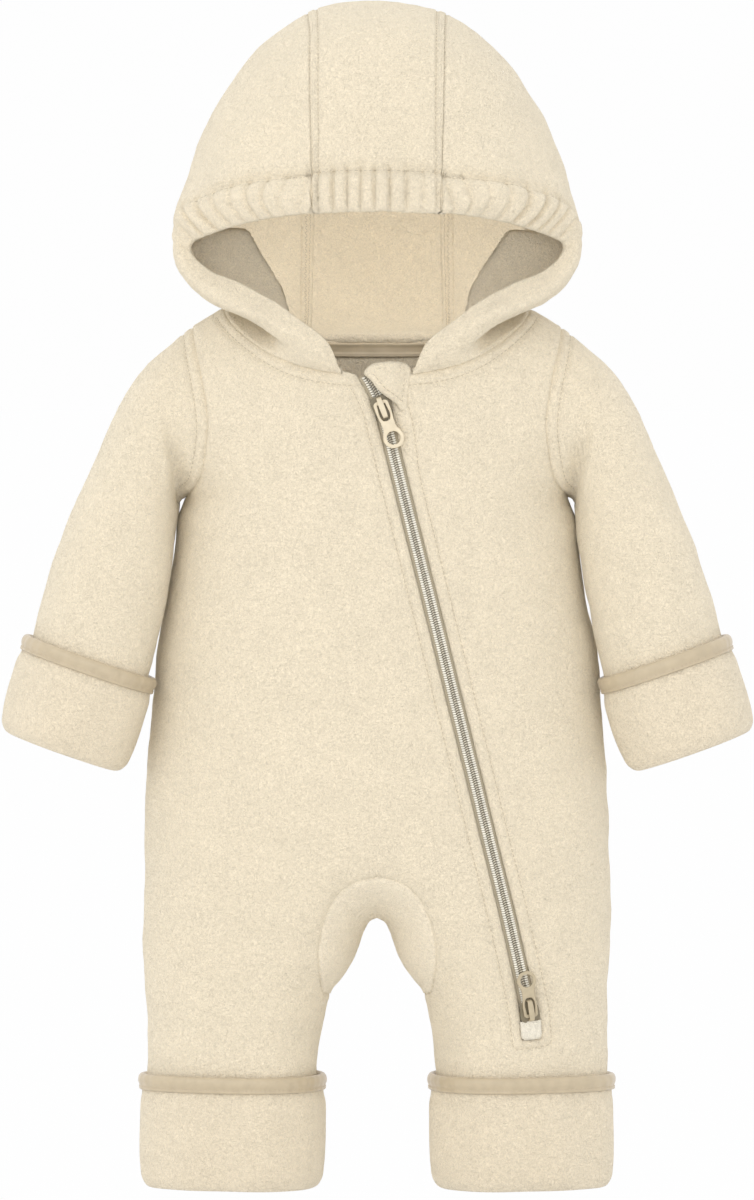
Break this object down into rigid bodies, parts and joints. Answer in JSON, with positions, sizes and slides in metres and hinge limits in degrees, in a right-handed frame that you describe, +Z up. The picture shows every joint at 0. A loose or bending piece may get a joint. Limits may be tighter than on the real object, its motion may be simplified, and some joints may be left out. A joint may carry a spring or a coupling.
{
  "type": "fleece pramsuit",
  "caption": "Hooded baby pramsuit in thick fleece with a slanted two-way zip, turned-back cuffs with satin binding and a rounded crotch gusset, filled out as if worn.",
  "frame": {"origin": "middle of the neck, level with where a wearer's shoulders carry the garment", "axes": "+Z up along the body, -Y towards the front with the zip, +X towards the wearer's left"},
  "size_m": [0.4312, 0.1785, 0.6825],
  "materials": {
    "fleece": "matte brushed fleece with a short pile",
    "satin": "soft satin binding",
    "zip_tape": "woven tape",
    "zip_coil": "smooth polymer coil",
    "metal": "satin champagne lacquer on cast metal"
  },
  "bodies": {
    "garment": {"front": "fleece", "back": "fleece", "gusset": "fleece", "sleeve_left": "fleece", "sleeve_right": "fleece", "sleeve_cuff_left": "fleece", "sleeve_cuff_right": "fleece", "sleeve_binding_left": "satin", "sleeve_binding_right": "satin", "leg_cuff_left": "fleece", "leg_cuff_right": "fleece", "leg_binding_left": "satin", "leg_binding_right": "satin", "hood_centre": "fleece", "hood_side_left": "fleece", "hood_side_right": "fleece", "neck_tape": "satin", "zip_tape_left": "zip_tape", "zip_tape_right": "zip_tape", "zip_chain": "zip_coil", "slider_top": "metal", "slider_bottom": "metal", "zip_guard": "fleece", "zip_end_patch": "fleece"},
    "upper_tab": {"pull_top": "metal"},
    "lower_tab": {"pull_bottom": "metal"}
  },
  "joints": [
    {"name": "upper_pull", "type": "hinge", "parent": "garment", "child": "upper_tab", "pos_m": [0.00187, -0.06, -0.03279], "axis": [-0.9341, -0.0007, -0.3571], "range_deg": [0, 120]},
    {"name": "lower_pull", "type": "hinge", "parent": "garment", "child": "lower_tab", "pos_m": [0.08833, -0.0413, -0.38415], "axis": [0.9498, 0.2719, 0.1549], "range_deg": [0, 120]}
  ]
}
